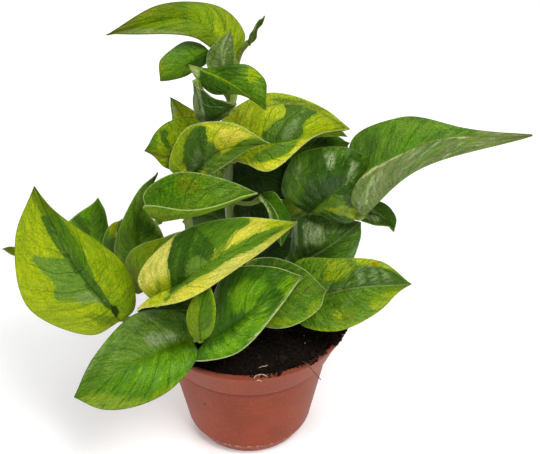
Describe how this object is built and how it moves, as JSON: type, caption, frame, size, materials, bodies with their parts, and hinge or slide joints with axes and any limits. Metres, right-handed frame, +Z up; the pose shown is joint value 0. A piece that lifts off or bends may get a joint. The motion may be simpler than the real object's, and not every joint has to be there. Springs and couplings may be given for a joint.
{
  "type": "potted lemon joy pothos",
  "caption": "Potted lemon joy pothos: a bushy climbing aroid with green, lime and cream heart-shaped leaves on upright stems, growing in a flared terracotta-coloured plastic pot.",
  "frame": {"origin": "centre of the pot's underside, on the surface it stands on", "axes": "+Z up along the pot's axis; -Y towards the plant's front; +X to the right as seen from the front, where the long leaf reaches"},
  "size_m": [0.2958, 0.1726, 0.2797],
  "materials": {
    "pot": "satin, faintly scuffed terracotta-coloured plastic",
    "soil": "crumbly dark potting soil",
    "stalk": "smooth pale green stem",
    "leaf_green": "glossy mid to dark green leaf with a paler margin",
    "leaf_lime": "glossy lime leaf with dark green patches",
    "leaf_cream": "glossy leaf, half dark green and half butter yellow"
  },
  "bodies": {
    "root": {"pot": "pot", "soil": "soil", "stem_main": "stalk", "stem_left": "stalk", "stem_right": "stalk", "stem_front": "stalk", "stem_back": "stalk", "leaf_crown": "leaf_lime", "leaf_crown_back": "leaf_green", "leaf_crown_left": "leaf_green", "leaf_sprout": "leaf_green", "leaf_sickle": "leaf_green", "leaf_sickle_low": "leaf_green", "leaf_point": "leaf_lime", "leaf_left_high": "leaf_lime", "leaf_yellow_edge": "leaf_cream", "leaf_lime_dark": "leaf_lime", "leaf_lime_back": "leaf_lime", "leaf_cupped": "leaf_green", "leaf_cream": "leaf_cream", "leaf_left_big": "leaf_lime", "leaf_front_left": "leaf_green", "leaf_front": "leaf_green", "leaf_small_front": "leaf_lime", "leaf_right_low": "leaf_green", "leaf_right_inner": "leaf_green", "leaf_right_gloss": "leaf_green", "leaf_right_dark": "leaf_green", "leaf_right_long": "leaf_green", "leaf_right_small": "leaf_green", "leaf_left_back": "leaf_green", "leaf_left_edge": "leaf_green", "leaf_left_dark": "leaf_green", "leaf_left_inner": "leaf_lime", "leaf_hanging": "leaf_green", "leaf_shade_low": "leaf_green", "leaf_shade_mid": "leaf_green", "leaf_shade_high": "leaf_green", "leaf_shade_right": "leaf_green", "leaf_far_left": "leaf_green", "leaf_shade_front": "leaf_green", "leaf_behind_top": "leaf_lime", "leaf_behind_mid": "leaf_cream", "leaf_behind_left": "leaf_green", "leaf_behind_right": "leaf_green", "leaf_behind_low_left": "leaf_green", "leaf_behind_low_right": "leaf_green"}
  },
  "joints": []
}
